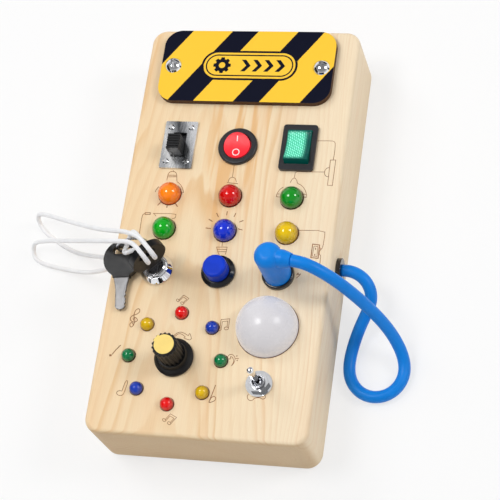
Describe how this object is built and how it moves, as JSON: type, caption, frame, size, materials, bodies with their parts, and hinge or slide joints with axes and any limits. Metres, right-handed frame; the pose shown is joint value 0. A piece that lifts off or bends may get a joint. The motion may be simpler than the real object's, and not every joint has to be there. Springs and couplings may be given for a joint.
{
  "type": "wooden busy board",
  "caption": "Pale wooden busy board with rocker, slide and toggle switches, coloured lamps, a key lock with tethered keys, a push button, a dial, a dome lamp and a cabled blue plug.",
  "frame": {"origin": "middle of the back face, which the board lies on", "axes": "+Z out of the play face, +Y along the board towards the sign plate, +X across the board towards the plug"},
  "size_m": [0.1782, 0.189, 0.0616],
  "materials": {
    "pine": "sanded pine, thin clear oil",
    "plywood": "sanded birch plywood",
    "screw_steel": "zinc plated",
    "black_plastic": "moulded, matt",
    "black_gloss": "moulded, gloss",
    "cell_wrap": "printed film",
    "circuit_green": "solder resist",
    "wire_red": "insulated wire",
    "sign_paint": "fibreboard printed with diagonal stripes",
    "bright_chrome": "polished plating",
    "satin_steel": "nickel plated, satin",
    "red_plastic": "moulded, gloss",
    "green_clear": "tinted clear, gloss",
    "lamp_orange": "tinted clear resin",
    "lamp_red": "tinted clear resin",
    "lamp_green": "tinted clear resin",
    "lamp_blue": "tinted clear resin",
    "lamp_yellow": "tinted clear resin",
    "frosted_white": "frosted white, satin gloss",
    "blue_plastic": "moulded, gloss",
    "blue_rubber": "soft vinyl",
    "grey_plastic": "moulded, matt",
    "white_cord": "smooth vinyl cord",
    "cream_plastic": "moulded, matt"
  },
  "bodies": {
    "board": {"wooden_body": "pine", "back_cover": "plywood", "wood_screws": "screw_steel", "battery_door": "plywood", "board_posts": "pine", "battery_tray": "black_plastic", "battery_cells": "cell_wrap", "battery_contacts": "screw_steel", "control_board": "circuit_green", "circuit_parts": "black_plastic", "wiring": "wire_red", "sign_plate": "sign_paint", "sign_screws": "screw_steel", "slide_switch_frame": "bright_chrome", "slide_switch_rivets": "bright_chrome", "slide_switch_housing": "black_plastic", "round_rocker_housing": "black_plastic", "lit_rocker_housing": "black_plastic", "lamp_orange": "lamp_orange", "lamp_red": "lamp_red", "lamp_green_upper": "lamp_green", "lamp_green_lower": "lamp_green", "lamp_blue": "lamp_blue", "lamp_yellow": "lamp_yellow", "small_lamps_red": "lamp_red", "small_lamps_blue": "lamp_blue", "small_lamps_green": "lamp_green", "small_lamps_yellow": "lamp_yellow", "dome_lens": "frosted_white", "dome_lamp_board": "circuit_green", "lock_body": "bright_chrome", "key_ring": "satin_steel", "button_collar": "black_gloss", "button_spring": "satin_steel", "socket_body": "black_gloss", "panel_nuts": "satin_steel", "cable": "blue_rubber", "cable_grommet": "black_plastic", "tether_bush": "grey_plastic", "tether_cord": "white_cord", "dial_control": "satin_steel", "toggle_body": "satin_steel", "toggle_washer": "bright_chrome", "toggle_nut": "bright_chrome"},
    "slider": {"slide_switch_button": "black_plastic"},
    "round_rocker": {"round_rocker_paddle": "red_plastic"},
    "lit_rocker": {"lit_rocker_paddle": "green_clear"},
    "key": {"lock_barrel": "satin_steel", "lock_cam": "satin_steel", "key_blade": "satin_steel", "key_grip": "black_plastic"},
    "spare_key": {"spare_key_blade": "satin_steel", "spare_key_grip": "black_plastic"},
    "button": {"button_cap": "blue_plastic"},
    "plug": {"plug_boot": "blue_rubber", "plug_tip": "satin_steel"},
    "dial": {"dial_shaft": "satin_steel", "dial_knob": "black_plastic", "dial_pointer_cap": "cream_plastic"},
    "toggle": {"toggle_lever": "bright_chrome"}
  },
  "joints": [
    {"name": "slider_slide", "type": "slide", "parent": "board", "child": "slider", "axis": [0, 1, 0], "range_m": [0, 0.0043]},
    {"name": "round_rocker_tilt", "type": "hinge", "parent": "board", "child": "round_rocker", "pos_m": [0, 0.037, 0.033], "axis": [1, 0, 0], "range_deg": [-16, 0]},
    {"name": "lit_rocker_tilt", "type": "hinge", "parent": "board", "child": "lit_rocker", "pos_m": [0.027, 0.037, 0.033], "axis": [1, 0, 0], "range_deg": [0, 16]},
    {"name": "key_turn", "type": "hinge", "parent": "board", "child": "key", "pos_m": [-0.027, -0.0215, 0.0376], "axis": [0, 0, -1], "range_deg": [0, 90], "deforming": ["tether_cord"]},
    {"name": "spare_key_lift", "type": "hinge", "parent": "board", "child": "spare_key", "pos_m": [-0.04193, -0.01554, 0.0373], "axis": [-0.9962, -0.0872, 0], "range_deg": [0, 25]},
    {"name": "button_press", "type": "slide", "parent": "board", "child": "button", "axis": [0, 0, -1], "range_m": [0, 0.0025], "stiffness_N_per_m": 300, "springref_m": -0.002, "deforming": ["button_spring"]},
    {"name": "plug_pull", "type": "slide", "parent": "board", "child": "plug", "axis": [0, 0, 1], "range_m": [0, 0.02], "deforming": ["cable"]},
    {"name": "dial_turn", "type": "hinge", "parent": "board", "child": "dial", "pos_m": [-0.013, -0.0605, 0.033], "axis": [0, 0, 1], "range_deg": [-206, 94]},
    {"name": "toggle_tilt", "type": "hinge", "parent": "board", "child": "toggle", "pos_m": [0.0245, -0.0695, 0.0345], "axis": [1, 0, 0], "range_deg": [-12, 12]}
  ]
}
